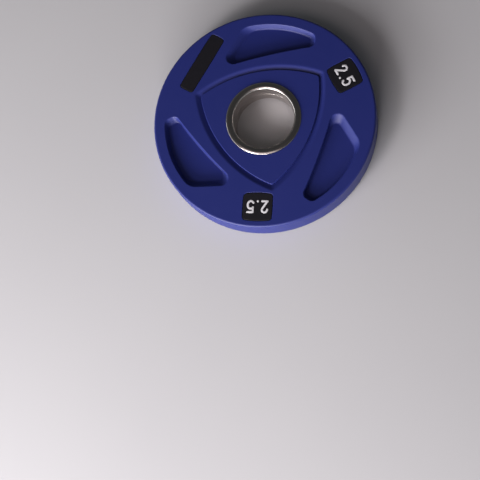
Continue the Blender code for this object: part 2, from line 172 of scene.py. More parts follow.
# Urethane casing
# One piece of blue urethane, cast in a two-part mould round the core: both faces, the rim,
# three finger pockets and a three-cornered groove a face, and the seats of the badges.

PLATE_R = 93.0 * MM
BODY_THICKNESS = 22.0 * MM
HUB_PROUD = 1.2 * MM
FRONT_FACE = HUB_PROUD + BODY_THICKNESS
MIDDLE = HUB_PROUD + BODY_THICKNESS / 2
SKIN = 2.7 * MM
FIT = 0.3 * MM
SECTORS = 3
SECTOR = 2 * math.pi / SECTORS

RIM_ROUND = 1.8 * MM
RIM_ROUND_STEPS = 10
RIM_STEPS = 288
PARTING_WIDTH = 0.45 * MM
PARTING_HEIGHT = 0.06 * MM

HUB_FLANGE_R = 31.5 * MM
HUB_BOND = 0.08 * MM
HUB_SEAT_R = HUB_FLANGE_R + HUB_BOND
HUB_SEAT_ROUND = 0.2 * MM
HUB_STEPS = 192

# How far a face or a wall is held flat beside a rounded edge
BESIDE = 0.3 * MM
# Segments of an eased edge and of the finest ones
EASED_STEPS = 5
FINE_STEPS = 4
MERGE_DISTANCE = 0.001 * MM


def turned_point(point, angle):
    """A point (x, y) turned about the plate's axis."""
    x, y = point
    return (x * math.cos(angle) - y * math.sin(angle), x * math.sin(angle) + y * math.cos(angle))


def arc(centre, radius, start, end, steps):
    """Points from start to end, both included. The radius may be one for x and one for y."""
    across, along = radius if isinstance(radius, tuple) else (radius, radius)
    found = []
    for step in range(steps + 1):
        angle = start + (end - start) * step / steps
        found.append((centre[0] + across * math.cos(angle), centre[1] + along * math.sin(angle)))
    return found


def softened_line(points, rounds):
    """A line through the points, with its inner corners bevelled by rounds of (reach, segments)."""
    wire = bmesh.new()
    verts = [wire.verts.new((x, y, 0.0)) for x, y in points]
    for here, there in zip(verts, verts[1:]):
        wire.edges.new((here, there))
    start = verts[0]
    for vert, (reach, segments) in zip(verts[1:-1], rounds):
        if segments:
            bmesh.ops.bevel(
                wire,
                geom=[vert],
                offset=reach,
                affect="VERTICES",
                segments=segments,
                profile=0.5,
                material=-1,
            )
    found = [start.co.xy.to_tuple()]
    edge = start.link_edges[0]
    vert = edge.other_vert(start)
    while True:
        found.append(vert.co.xy.to_tuple())
        onward = [other for other in vert.link_edges if other != edge]
        if not onward:
            break
        edge = onward[0]
        vert = edge.other_vert(vert)
    wire.free()
    return found


def outline_face(shape, points, height):
    """One level face with the points as its corners."""
    return shape.faces.new([shape.verts.new((x, y, height)) for x, y in points])


def sunk(shape, mouth, levels):
    """Extrudes a face again and again, and lays each copy on the next (outline, height)."""
    for points, height in levels:
        mouth = bmesh.ops.extrude_discrete_faces(shape, faces=[mouth])["faces"][0]
        for vert, (x, y) in zip(mouth.verts, points):
            vert.co = (x, y, height)
    return mouth


def opened(shape, faces):
    """Takes faces away and gives back the edges that were round them."""
    edges = [edge for face in faces for edge in face.edges]
    bmesh.ops.delete(shape, geom=faces, context="FACES_ONLY")
    return edges


def filled(shape, edges):
    """A flat sheet inside the outermost of the loops, with the other loops as its holes."""
    bmesh.ops.triangle_fill(shape, use_beauty=True, use_dissolve=False, edges=edges, normal=(0, 0, 1))


GROOVE_CORNER_R = PLATE_R - 29.9 * MM
GROOVE_WIDTH = 2 * GROOVE_CORNER_R * math.sin(SECTOR / 2)
GROOVE_TURN = math.radians(-79.5)
GROOVE_SLOPE = 4.4 * MM
GROOVE_STEP = 0.25 * MM
GROOVE_DEPTH = 1.7 * MM
GROOVE_CORNER_ROUND = 3.0 * MM
GROOVE_LIP_ROUND = 0.9 * MM
GROOVE_LIP_STEPS = 8
GROOVE_FOOT_ROUND = 0.2 * MM
# How far outside its lip the groove's mouth starts, and how near its foot the slope is held
GROOVE_LEAD = 4 * BESIDE
GROOVE_HOLD = 2 * BESIDE
GROOVE_SIDE_STEPS = 28
GROOVE_CORNER_STEPS = 10


def groove_outline(inset):
    """A triangle of constant width with bowed sides and round corners, moved in by inset."""
    reach = GROOVE_WIDTH - inset - GROOVE_CORNER_ROUND
    to_corner = (math.sqrt(4 * reach**2 - 3 * GROOVE_CORNER_R**2) - GROOVE_CORNER_R) / 2
    angles = [GROOVE_TURN + k * SECTOR for k in range(SECTORS)]
    corners = [turned_point((to_corner, 0.0), angle) for angle in angles]
    centres = [turned_point((GROOVE_CORNER_R, 0.0), angle) for angle in angles]
    found = []
    for k, here in enumerate(corners):
        following = corners[(k + 1) % SECTORS]
        before = centres[(k + 1) % SECTORS]
        opposite = centres[(k + 2) % SECTORS]
        arrive = math.atan2(here[1] - before[1], here[0] - before[0])
        leave = math.atan2(here[1] - opposite[1], here[0] - opposite[0])
        leave = arrive + math.remainder(leave - arrive, 2 * math.pi)
        end = math.atan2(following[1] - opposite[1], following[0] - opposite[0])
        end = leave + math.remainder(end - leave, 2 * math.pi)
        found += arc(here, GROOVE_CORNER_ROUND, arrive, leave, GROOVE_CORNER_STEPS)
        found += arc(opposite, reach + GROOVE_CORNER_ROUND, leave, end, GROOVE_SIDE_STEPS)[1:-1]
    return found


POCKET_DEPTH = 5.0 * MM
POCKET_OUTER_R = PLATE_R - 9.5 * MM
POCKET_TIP_ANGLE = math.radians(62.0)
POCKET_WIDE_ANGLE = math.radians(106.1)
POCKET_WIDE_DIRECTION = math.radians(153.4)
POCKET_INNER_DIRECTION = math.radians(283.4)
POCKET_TIP_DISTANCE = POCKET_OUTER_R * math.cos(POCKET_TIP_ANGLE)
POCKET_WIDE_DISTANCE = POCKET_OUTER_R * math.cos(POCKET_WIDE_ANGLE - POCKET_WIDE_DIRECTION)
POCKET_LAND = 7.0 * MM
POCKET_INNER_DISTANCE = GROOVE_CORNER_R - GROOVE_WIDTH - POCKET_LAND
POCKET_INNER_BULGE = 1.1 * MM
INNER_WALL_RUN = 0.8 * MM
TIP_WALL_RUN = 3.8 * MM
OUTER_WALL_RUN = 2.4 * MM
WIDE_WALL_RUN = 5.4 * MM
WIDE_INNER_CORNER = 6.3 * MM
TIP_CORNER = 5.4 * MM
TIP_CORNER_SHARE = 0.68
WIDE_OUTER_CORNER = 12.0 * MM
FLOOR_CORNER_CUT = 0.8 * MM
POCKET_LIP = 0.5 * MM
POCKET_FILLET = 0.8 * MM
POCKET_CORNER_STEPS = 12
POCKET_EDGE_STEPS = 24
POCKET_ROUND_STEPS = 6


def line_corner(first, second, radius):
    """Centre of the round corner between two straight edges, each (direction, distance)."""
    a, d = first[0], first[1] - radius
    b, e = second[0], second[1] - radius
    spread = math.sin(b - a)
    x = (d * math.sin(b) - e * math.sin(a)) / spread
    y = (e * math.cos(a) - d * math.cos(b)) / spread
    return (x, y)


def arc_corner(edge, arc_radius, radius, hand):
    """Centre of the round corner between a straight edge and an arc about the plate's centre."""
    distance = edge[1] - radius
    along = hand * math.sqrt((arc_radius - radius) ** 2 - distance**2)
    return turned_point((distance, along), edge[0])


def pocket_outline(depth_share, grow):
    """One finger pocket at a share of its depth, moved outwards by grow."""
    inner = (POCKET_INNER_DIRECTION, POCKET_INNER_DISTANCE - INNER_WALL_RUN * depth_share + grow)
    tip = (0.0, POCKET_TIP_DISTANCE - TIP_WALL_RUN * depth_share + grow)
    wide = (POCKET_WIDE_DIRECTION, POCKET_WIDE_DISTANCE - WIDE_WALL_RUN * depth_share + grow)
    outer_r = POCKET_OUTER_R - OUTER_WALL_RUN * depth_share + grow
    change = grow - FLOOR_CORNER_CUT * depth_share
    tip_wall = math.dist(line_corner(inner, tip, 0.0), arc_corner(tip, outer_r, 0.0, 1))
    tip_r = min(TIP_CORNER + change, tip_wall * TIP_CORNER_SHARE)
    wide_inner_r = WIDE_INNER_CORNER + change
    wide_outer_r = WIDE_OUTER_CORNER + change

    tip_outer = arc_corner(tip, outer_r, tip_r, 1)
    wide_outer = arc_corner(wide, outer_r, wide_outer_r, -1)
    tip_angle = math.atan2(tip_outer[1], tip_outer[0])
    wide_angle = math.atan2(wide_outer[1], wide_outer[0])
    steps = POCKET_CORNER_STEPS
    wide_inner_arc = arc(line_corner(wide, inner, wide_inner_r), wide_inner_r, wide[0], inner[0], steps)
    tip_inner_arc = arc(line_corner(inner, tip, tip_r), tip_r, inner[0], 2 * math.pi, steps)
    start = Vector(wide_inner_arc[-1])
    run = Vector(tip_inner_arc[0]) - start
    outward = Vector((math.cos(inner[0]), math.sin(inner[0])))
    inner_edge = []
    for step in range(1, POCKET_EDGE_STEPS):
        share = step / POCKET_EDGE_STEPS
        bulge = 4 * share * (1 - share) * POCKET_INNER_BULGE
        inner_edge.append((start + run * share - outward * bulge).to_tuple())
    tip_outer_arc = arc(tip_outer, tip_r, 0.0, tip_angle, steps)
    outer_edge = arc((0.0, 0.0), outer_r, tip_angle, wide_angle, POCKET_EDGE_STEPS)[1:-1]
    wide_outer_arc = arc(wide_outer, wide_outer_r, wide_angle, wide[0], steps)
    return wide_inner_arc + inner_edge + tip_inner_arc + tip_outer_arc + outer_edge + wide_outer_arc


def pocket_levels():
    """(depth share, grow) from the face over the lip and down the wall to the filleted floor."""
    yield 0.0, POCKET_LIP
    for step in range(1, POCKET_ROUND_STEPS + 1):
        angle = math.pi / 2 * step / POCKET_ROUND_STEPS
        yield POCKET_LIP * (1 - math.cos(angle)) / POCKET_DEPTH, POCKET_LIP * (1 - math.sin(angle))
    for step in range(POCKET_ROUND_STEPS + 1):
        angle = math.pi / 2 * step / POCKET_ROUND_STEPS
        depth_share = 1 - POCKET_FILLET * (1 - math.sin(angle)) / POCKET_DEPTH
        yield depth_share, -POCKET_FILLET * (1 - math.cos(angle))
    yield 1.0, -POCKET_FILLET - BESIDE


BADGE_WIDTH = 23.6 * MM
BADGE_HEIGHT = 21.4 * MM
BADGE_RADIUS = PLATE_R - 6.6 * MM - BADGE_HEIGHT / 2
BADGE_TURN = math.radians(-90)
BADGE_THICKNESS = 1.7 * MM
BADGE_SIDE_BOW = 0.4 * MM
BADGE_END_BOW = 1.1 * MM
BADGE_CORNER = 1.8 * MM
LONG_BADGE_WIDTH = 52.6 * MM
LONG_BADGE_HEIGHT = 12.4 * MM
LONG_BADGE_END_BOW = 0.3 * MM
LONG_BADGE_RADIUS = PLATE_R - 12.8 * MM - LONG_BADGE_HEIGHT / 2
LONG_BADGE_LAG = math.radians(11.2)
LONG_BADGE_TILT = math.radians(2.8)
NUMBERED_SECTORS = 2
BADGE_CORNER_STEPS = 8
BADGE_EDGE_STEPS = 12
SEAT_ROUND = 0.35 * MM
KEY_R = 5.0 * MM
KEY_STEPS = 32
CORE_EDGE = 1.5 * MM


def badge_outline(width, height, end_bow, grow):
    """A rounded rectangle about (0, 0) whose sides bow outwards, moved outwards by grow."""
    half_w = width / 2 + grow
    half_h = height / 2 + grow
    corner = BADGE_CORNER + grow
    found = []
    for quarter, (sx, sy) in enumerate(((1, -1), (1, 1), (-1, 1), (-1, -1))):
        centre = (sx * (half_w - corner), sy * (half_h - corner))
        start = (quarter - 1) * math.pi / 2
        found += arc(centre, corner, start, start + math.pi / 2, BADGE_CORNER_STEPS)
        out, along = (half_w, half_h - corner) if quarter % 2 == 0 else (half_h, half_w - corner)
        for step in range(1, BADGE_EDGE_STEPS):
            share = 2 * step / BADGE_EDGE_STEPS - 1
            found.append(turned_point((out, share * along), start + math.pi / 2))
    bowed = []
    for x, y in found:
        side_share = BADGE_SIDE_BOW / half_w * (1 - (y / half_h) ** 2)
        end_share = end_bow / half_h * (1 - (x / half_w) ** 2)
        bowed.append((x * (1 + side_share), y * (1 + end_share)))
    return bowed


def badge_shape(sector, grow):
    """The outline of a sector's badge: two are numbered, and the third one is long."""
    if sector < NUMBERED_SECTORS:
        return badge_outline(BADGE_WIDTH, BADGE_HEIGHT, BADGE_END_BOW, grow)
    return badge_outline(LONG_BADGE_WIDTH, LONG_BADGE_HEIGHT, LONG_BADGE_END_BOW, grow)


def on_badge(points, sector, reading_side=1):
    """Badge points, x to the reader's right and y away from the bore, as plate points."""
    angle = BADGE_TURN + sector * SECTOR
    centre = turned_point((BADGE_RADIUS, 0.0), angle)
    turn = angle
    if sector >= NUMBERED_SECTORS:
        centre = turned_point((LONG_BADGE_RADIUS, 0.0), angle - LONG_BADGE_LAG)
        turn = angle + LONG_BADGE_TILT
    placed = []
    for x, y in points:
        dx, dy = turned_point((y, -x * reading_side), turn)
        placed.append((centre[0] + dx, centre[1] + dy))
    return placed


def cut_pocket(shape, sector):
    """A finger pocket, from its lip to its floor. Gives back the edges of its mouth."""
    angle = sector * SECTOR

    def level(share, grow):
        points = [turned_point(point, angle) for point in pocket_outline(share, grow)]
        return points, FRONT_FACE - POCKET_DEPTH * share

    mouth = outline_face(shape, *level(0.0, POCKET_LIP + BESIDE))
    edges = list(mouth.edges)
    floor = sunk(shape, mouth, [level(share, grow) for share, grow in pocket_levels()])
    filled(shape, opened(shape, [floor]))
    return edges


def cut_seat(shape, sector):
    """The shallow seat of a badge, with its mouth eased."""

    def level(grow, drop):
        return on_badge(badge_shape(sector, grow), sector), FRONT_FACE - drop

    depth = BADGE_THICKNESS + FIT
    profile = ((SEAT_ROUND + BESIDE, 0.0), (0.0, 0.0), (0.0, depth))
    line = softened_line(profile, ((SEAT_ROUND, EASED_STEPS),))
    mouth = outline_face(shape, *level(FIT + line[0][0], line[0][1]))
    edges = list(mouth.edges)
    floor = sunk(shape, mouth, [level(FIT + out, drop) for out, drop in line[1:]])
    filled(shape, opened(shape, [floor]))
    return edges


def cut_groove(shape):
    """The groove's long slope and short step. The face that is left is the middle pad."""
    bottom = GROOVE_SLOPE
    far = bottom + GROOVE_STEP
    line = softened_line(
        (
            (-GROOVE_LEAD, 0.0),
            (0.0, 0.0),
            (bottom - GROOVE_HOLD, GROOVE_DEPTH * (1 - GROOVE_HOLD / bottom)),
            (bottom, GROOVE_DEPTH),
            (far, 0.0),
            (far + GROOVE_HOLD, 0.0),
        ),
        (
            (GROOVE_LIP_ROUND, GROOVE_LIP_STEPS),
            (0.0, 0),
            (GROOVE_FOOT_ROUND, FINE_STEPS),
            (GROOVE_FOOT_ROUND, EASED_STEPS),
        ),
    )
    levels = [(groove_outline(inset), FRONT_FACE - drop) for inset, drop in line]
    mouth = outline_face(shape, *levels[0])
    edges = list(mouth.edges)
    return edges, sunk(shape, mouth, levels[1:])


def circle_points(radius, steps, centre=(0.0, 0.0)):
    """Points once round a circle."""
    return arc(centre, radius, 0.0, 2 * math.pi, steps)[:-1]


def cut_hub_seat(shape):
    """The hole that the hub's flange sits in, down to the hollow that the core fills."""
    profile = ((HUB_SEAT_ROUND + BESIDE, 0.0), (0.0, 0.0), (0.0, SKIN))
    line = softened_line(profile, ((HUB_SEAT_ROUND, FINE_STEPS),))
    levels = [(circle_points(HUB_SEAT_R + out, HUB_STEPS), FRONT_FACE - drop) for out, drop in line]
    mouth = outline_face(shape, *levels[0])
    edges = list(mouth.edges)
    return edges, sunk(shape, mouth, levels[1:])


def spun(shape, line, steps):
    """Turns a line of (radius, height) points once round Z."""
    verts = [shape.verts.new((radius, 0.0, height)) for radius, height in line]
    edges = [shape.edges.new(pair) for pair in zip(verts, verts[1:])]
    bmesh.ops.spin(
        shape,
        geom=verts + edges,
        cent=(0, 0, 0),
        axis=(0, 0, 1),
        angle=2 * math.pi,
        steps=steps,
        use_merge=True,
    )


def ring_edges(shape, radius, height):
    """The edges of the circle that lies at that radius and height."""
    on_ring = set()
    for vert in shape.verts:
        off = (abs(vert.co.z - height), abs(vert.co.xy.length - radius))
        if max(off) < MERGE_DISTANCE:
            on_ring.add(vert)
    return [edge for edge in shape.edges if edge.verts[0] in on_ring and edge.verts[1] in on_ring]


def moulded_half(shape):
    """The casing's front half, from the mid-plane up, open at the mid-plane."""
    rim_line = softened_line(
        (
            (PLATE_R - RIM_ROUND - BESIDE, FRONT_FACE),
            (PLATE_R, FRONT_FACE),
            (PLATE_R, FRONT_FACE - RIM_ROUND - BESIDE),
            (PLATE_R, MIDDLE + PARTING_WIDTH + BESIDE),
            (PLATE_R, MIDDLE + PARTING_WIDTH),
            (PLATE_R + PARTING_HEIGHT, MIDDLE),
        ),
        ((RIM_ROUND, RIM_ROUND_STEPS),),
    )
    spun(shape, rim_line, RIM_STEPS)
    face_edges = ring_edges(shape, PLATE_R - RIM_ROUND - BESIDE, FRONT_FACE)
    for sector in range(SECTORS):
        face_edges += cut_pocket(shape, sector)
        face_edges += cut_seat(shape, sector)
    groove_edges, pad = cut_groove(shape)
    filled(shape, face_edges + groove_edges)
    seat_edges, seat_floor = cut_hub_seat(shape)
    filled(shape, opened(shape, [pad]) + seat_edges)

    ceiling = FRONT_FACE - SKIN
    hollow_r = PLATE_R - SKIN
    ceiling_r = hollow_r - CORE_EDGE
    hollow_line = ((ceiling_r, ceiling), (hollow_r, ceiling - CORE_EDGE), (hollow_r, MIDDLE))
    spun(shape, hollow_line, RIM_STEPS)
    hollow_edges = ring_edges(shape, ceiling_r, ceiling) + opened(shape, [seat_floor])
    for sector in range(SECTORS):
        angle = sector * SECTOR
        above = [turned_point(point, angle) for point in pocket_outline(0.0, SKIN)]
        below = [turned_point(point, angle) for point in pocket_outline(1.0, SKIN)]
        mouth = outline_face(shape, above, ceiling)
        hollow_edges += list(mouth.edges)
        filled(shape, opened(shape, [sunk(shape, mouth, [(below, ceiling - POCKET_DEPTH)])]))
        key = circle_points(KEY_R, KEY_STEPS, turned_point((BADGE_RADIUS, 0.0), BADGE_TURN + angle))
        mouth = outline_face(shape, key, ceiling)
        hollow_edges += list(mouth.edges)
        opened(shape, [sunk(shape, mouth, [(key, MIDDLE)])])
    filled(shape, hollow_edges)


SHARP_ABOVE = math.radians(32)

BLUE_DEEP = (0.0122, 0.0212, 0.152)
BLUE_CLEAR = (0.0158, 0.0236, 0.164)
BLUE_CLOUD = (0.0175, 0.0262, 0.178)
URETHANE_SPECULAR = 0.45
URETHANE_ROUGHNESS = 0.42
URETHANE_GRAIN_DEPTH = 0.05 * MM
RUB_STRETCH = (1.0, 7.0, 1.0)


def finished(name, shape, material, slot, *nodes):
    """Makes a mesh object of a shape, hangs it under the root body, and hides the CAD nodes it stands
    for.
    """
    bmesh.ops.remove_doubles(shape, verts=shape.verts, dist=MERGE_DISTANCE)
    bmesh.ops.recalc_face_normals(shape, faces=shape.faces)
    mesh = bpy.data.meshes.new(name)
    shape.to_mesh(mesh)
    shape.free()
    mesh.shade_smooth()
    mesh.set_sharp_from_angle(angle=SHARP_ABOVE)
    mesh.materials.append(material)
    piece = bpy.data.objects.new(name, mesh)
    bpy.context.scene.collection.objects.link(piece)
    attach(piece, "root")
    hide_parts(*nodes)


def satin_urethane():
    """Moulded satin blue: a very fine grain, a slow waviness, and faint rubs from handling."""
    uniform = {"Specular IOR Level": URETHANE_SPECULAR}
    material, shader, place = new_finish("satin_urethane", uniform)
    slow = place.noise(place, 0.018, 2.0)
    cloud = place.noise(place, 0.11, 4.0, 0.55)
    grain = place.noise(place, 2.6, 3.0, 0.6)
    blue = place.mixed(slow, BLUE_DEEP, BLUE_CLEAR)
    blue = place.mixed(cloud * 0.25, blue, BLUE_CLOUD)
    along = place.node("ShaderNodeMapping", {}, {"Vector": place, "Scale": RUB_STRETCH})
    rubs = place.noise(along, 0.16, 5.0)
    rubbed = ((rubs - 0.57) * 5.0).clamped(0.0, 1.0)
    roughness = URETHANE_ROUGHNESS + cloud * 0.07 + grain * 0.05 - rubbed * 0.035
    relief = place.bumped(grain * 0.35 + slow, URETHANE_GRAIN_DEPTH, 0.6)
    feed(shader, Base_Color=blue, Roughness=roughness, Normal=relief)
    return material


urethane = satin_urethane()
casing = bmesh.new()
moulded_half(casing)
bmesh.ops.translate(casing, vec=(0, 0, -MIDDLE), verts=casing.verts)
everything = casing.verts[:] + casing.edges[:] + casing.faces[:]
bmesh.ops.mirror(casing, geom=everything, merge_dist=MERGE_DISTANCE, axis="Z")
bmesh.ops.translate(casing, vec=(0, 0, MIDDLE), verts=casing.verts)
finished("moulded_casing", casing, urethane, "blue_urethane", "urethane_casing")


# Steel hub
# Two flanged sleeves of stainless steel, turned, polished and pressed into the core, one
# from each face. Their tubes meet halfway down the bore, where a fine seam shows.

BORE_R = 25.5 * MM
SLEEVE_WALL = 2.4 * MM
HUB_CROWN_RUN = 3.0 * MM
HUB_CROWN_DROP = 0.94 * MM
HUB_EDGE_ROUND = 0.3 * MM
HUB_MOUTH_RUN = 2.8 * MM
HUB_MOUTH_DROP = 2.35 * MM
HUB_CROWN_STEPS = 16
# The point of the crown's arc that the rounded outer edge runs up to
HUB_EDGE_JOIN = 3
SEAM_ROUND = 0.25 * MM
HALF_SEAM = 0.03 * MM
STEEL_DARK = (0.50, 0.462, 0.435)
STEEL_PALE = (0.60, 0.562, 0.535)
STEEL_ROUGHNESS = 0.15
LATHE_DEPTH = 0.003 * MM
HAIRLINE_STRETCH = (1.0, 14.0, 1.0)

SIDES = {"front": 1, "rear": -1}


def to_face(shape, side):
    """Leaves a piece at the front face, or turns it over to the rear face where side is -1."""
    bmesh.ops.scale(shape, vec=(1, 1, side), verts=shape.verts)
    bmesh.ops.translate(shape, vec=(0, 0, (1 - side) * MIDDLE), verts=shape.verts)


def polished_steel():
    """Turned on a lathe and polished: fine rings about the bore, and a few hairline marks."""
    material, shader, place = new_finish("polished_steel", {"Metallic": 1.0})
    x, y, z = place.parts()
    radius = (x * x + y * y) ** 0.5
    lathe = place.node("ShaderNodeCombineXYZ", {}, {"X": radius, "Z": z})
    rings = place.noise(lathe, 3.2, 3.0, 0.6)
    stain = place.noise(place, 0.09, 4.0)
    along = place.node("ShaderNodeMapping", {}, {"Vector": place, "Scale": HAIRLINE_STRETCH})
    hairlines = place.noise(along, 0.4, 4.0)
    marked = ((hairlines - 0.62) * 6.0).clamped(0.0, 1.0)
    metal = place.mixed(stain, STEEL_DARK, STEEL_PALE)
    roughness = STEEL_ROUGHNESS + rings * 0.06 + stain * 0.05 + marked * 0.06
    relief = place.bumped(rings, LATHE_DEPTH, 0.4)
    feed(shader, Base_Color=metal, Roughness=roughness, Normal=relief)
    return material


steel = polished_steel()
top = FRONT_FACE + HUB_PROUD
seat = FRONT_FACE - SKIN + FIT
tube_end = MIDDLE + HALF_SEAM
crown_r = (HUB_CROWN_RUN**2 + HUB_CROWN_DROP**2) / (2 * HUB_CROWN_DROP)
crown_end = math.asin(HUB_CROWN_RUN / crown_r)
crown = arc(
    (HUB_FLANGE_R - HUB_CROWN_RUN, top - crown_r),
    crown_r,
    math.pi / 2 - crown_end,
    math.pi / 2,
    HUB_CROWN_STEPS,
)
edge_profile = ((HUB_FLANGE_R, seat), crown[0], crown[HUB_EDGE_JOIN])
edge = softened_line(edge_profile, ((HUB_EDGE_ROUND, EASED_STEPS),))
mouth = arc(
    (BORE_R + HUB_MOUTH_RUN, top - HUB_MOUTH_DROP),
    (HUB_MOUTH_RUN, HUB_MOUTH_DROP),
    math.pi / 2,
    math.pi,
    HUB_CROWN_STEPS,
)
seam = softened_line(
    (
        mouth[-1],
        (BORE_R, top - HUB_MOUTH_DROP - BESIDE),
        (BORE_R, tube_end + SEAM_ROUND + BESIDE),
        (BORE_R, tube_end),
        (BORE_R + SLEEVE_WALL, tube_end),
    ),
    ((0.0, 0), (0.0, 0), (SEAM_ROUND, FINE_STEPS)),
)
tube_foot = (BORE_R + SLEEVE_WALL, seat)
sleeve_line = [tube_foot] + edge[:-1] + crown[HUB_EDGE_JOIN:] + mouth + seam[1:] + [tube_foot]
for side_name, side in SIDES.items():
    sleeve = bmesh.new()
    spun(sleeve, sleeve_line, HUB_STEPS)
    to_face(sleeve, side)
    finished(f"{side_name}_steel_sleeve", sleeve, steel, "stainless_steel", f"{side_name}_hub_sleeve")


# Badges
# Three badges of black rubber a face, moulded apart and bonded into their seats. Two have
# recesses for their numerals, and the long third one is plain.

BADGE_EDGE = 0.3 * MM
BOND = 0.06 * MM
RUBBER_BLACK = (0.0030, 0.0028, 0.0052)
RUBBER_DUSTY = (0.0074, 0.0066, 0.0108)
BLACK_SPECULAR = 0.3
BLACK_ROUGHNESS = 0.55
BLACK_GRAIN_DEPTH = 0.05 * MM

NUMERAL_HEIGHT = 11.0 * MM
NUMERAL_WIDTH = 6.0 * MM
NUMERAL_STROKE = 1.65 * MM
NUMERAL_THICKNESS = 0.8 * MM
NUMERAL_SPREAD = BADGE_WIDTH / 4
POINT_R = 0.9 * MM
TWO_HOOK_END = math.radians(187)
FIVE_NOTCH = 1.35 * MM
FIVE_BOWL_HEIGHT = NUMERAL_HEIGHT - NUMERAL_STROKE - FIVE_NOTCH
FIVE_BOWL_SHIFT = 0.3 * MM
FIVE_HOOK_END = math.radians(-148)
STROKE_STEPS = 8
POINT_STEPS = 48
BOWL_STEPS = 36


def two_outline(grow):
    """The numeral 2 about (0, 0), drawn with a round-ended stroke."""
    centreline = NUMERAL_STROKE / 2
    half = centreline + grow
    crown_r = NUMERAL_WIDTH / 2 - centreline
    crown = (0.0, NUMERAL_HEIGHT / 2 - centreline - crown_r)
    base = centreline - NUMERAL_HEIGHT / 2
    heel = (-crown_r, base)
    to_crown = math.atan2(crown[1] - heel[1], crown[0] - heel[0])
    lean = to_crown - math.asin(crown_r / math.dist(crown, heel))
    leave = lean - math.pi / 2
    hook_x = crown[0] + crown_r * math.cos(TWO_HOOK_END)
    hook = (hook_x, crown[1] + crown_r * math.sin(TWO_HOOK_END))
    climb = half * (1 - math.sin(leave)) / math.sin(lean)
    crotch = (heel[0] + half * math.cos(leave) + climb * math.cos(lean), base + half)
    return (
        arc(crown, crown_r + half, leave, TWO_HOOK_END, BOWL_STEPS)
        + arc(hook, half, TWO_HOOK_END, TWO_HOOK_END + math.pi, STROKE_STEPS)[1:-1]
        + arc(crown, crown_r - half, TWO_HOOK_END, leave, BOWL_STEPS)
        + arc(heel, half, lean + math.pi / 2, 1.5 * math.pi, STROKE_STEPS)
        + arc((crown_r, base), half, -math.pi / 2, math.pi / 2, STROKE_STEPS)
        + [crotch]
    )


def five_outline(grow):
    """The numeral 5 about (0, 0), drawn with the same stroke."""
    centreline = NUMERAL_STROKE / 2
    half = centreline + grow
    reach = NUMERAL_WIDTH / 2 - centreline
    flag = NUMERAL_HEIGHT / 2 - centreline
    radii = (reach + FIVE_BOWL_SHIFT, FIVE_BOWL_HEIGHT / 2 - centreline)
    bowl = (-FIVE_BOWL_SHIFT, centreline + radii[1] - NUMERAL_HEIGHT / 2)
    outside = (radii[0] + half, radii[1] + half)
    inside = (radii[0] - half, radii[1] - half)
    crotch = math.acos((half - reach - bowl[0]) / outside[0])
    join = math.acos((-reach - bowl[0]) / radii[0])
    stem_end = (-reach, bowl[1] + radii[1] * math.sin(join))
    hook_x = bowl[0] + radii[0] * math.cos(FIVE_HOOK_END)
    hook = (hook_x, bowl[1] + radii[1] * math.sin(FIVE_HOOK_END))
    return (
        arc(bowl, outside, FIVE_HOOK_END, crotch, BOWL_STEPS)
        + [(half - reach, flag - half)]
        + arc((reach, flag), half, -math.pi / 2, math.pi / 2, STROKE_STEPS)
        + arc((-reach, flag), half, math.pi / 2, math.pi, STROKE_STEPS)
        + arc(stem_end, half, math.pi, math.pi + join, STROKE_STEPS)[:-1]
        + arc(bowl, inside, join, FIVE_HOOK_END, BOWL_STEPS)
        + arc(hook, half, FIVE_HOOK_END + math.pi, FIVE_HOOK_END + 2 * math.pi, STROKE_STEPS)[1:-1]
    )


def numerals(grow):
    """The names and outlines of a badge's numerals, moved outwards by grow."""
    point_centre = (0.0, POINT_R - NUMERAL_HEIGHT / 2)
    yield "digit_two", [(x - NUMERAL_SPREAD, y) for x, y in two_outline(grow)]
    yield "decimal_point", circle_points(POINT_R + grow, POINT_STEPS, point_centre)
    yield "digit_five", [(x + NUMERAL_SPREAD, y) for x, y in five_outline(grow)]


def black_rubber_finish():
    """Matt black moulded rubber with a fine grain, a little dusty."""
    material, shader, place = new_finish("badge_rubber", {"Specular IOR Level": BLACK_SPECULAR})
    grain = place.noise(place, 4.0, 3.0, 0.65)
    dust = place.noise(place, 0.22, 5.0, 0.6)
    black = place.mixed(dust, RUBBER_BLACK, RUBBER_DUSTY)
    relief = place.bumped(grain, BLACK_GRAIN_DEPTH, 0.5)
    feed(shader, Base_Color=black, Roughness=BLACK_ROUGHNESS + grain * 0.16, Normal=relief)
    return material


badge_rubber = black_rubber_finish()
for side_name, side in SIDES.items():
    for sector in range(SECTORS):
        badge = bmesh.new()
        profile = ((0.0, -BADGE_THICKNESS), (0.0, 0.0), (-BADGE_EDGE - BESIDE, 0.0))
        line = softened_line(profile, ((BADGE_EDGE, EASED_STEPS),))
        levels = []
        for out, rise in line:
            levels.append((on_badge(badge_shape(sector, out), sector), FRONT_FACE + rise))
        bottom = outline_face(badge, *levels[0])
        top_face = sunk(badge, bottom, levels[1:])
        top_edges = opened(badge, [top_face])
        outline_face(badge, *levels[0])
        name = f"{side_name}_plain_badge"
        if sector < NUMBERED_SECTORS:
            name = f"{side_name}_number_badge_{sector + 1}"
            recess_floor = FRONT_FACE - NUMERAL_THICKNESS - BOND
            for _, points in numerals(BOND):
                plan = on_badge(points, sector, side)
                mouth = outline_face(badge, plan, FRONT_FACE)
                top_edges += list(mouth.edges)
                filled(badge, opened(badge, [sunk(badge, mouth, [(plan, recess_floor)])]))
        filled(badge, top_edges)
        to_face(badge, side)
        finished(f"{name}_rubber", badge, badge_rubber, "black_rubber", name)


# Numerals
# White rubber numerals, moulded apart and bonded into the badges' recesses. They stand a
# hair proud of the badge, and their edges are rounded.

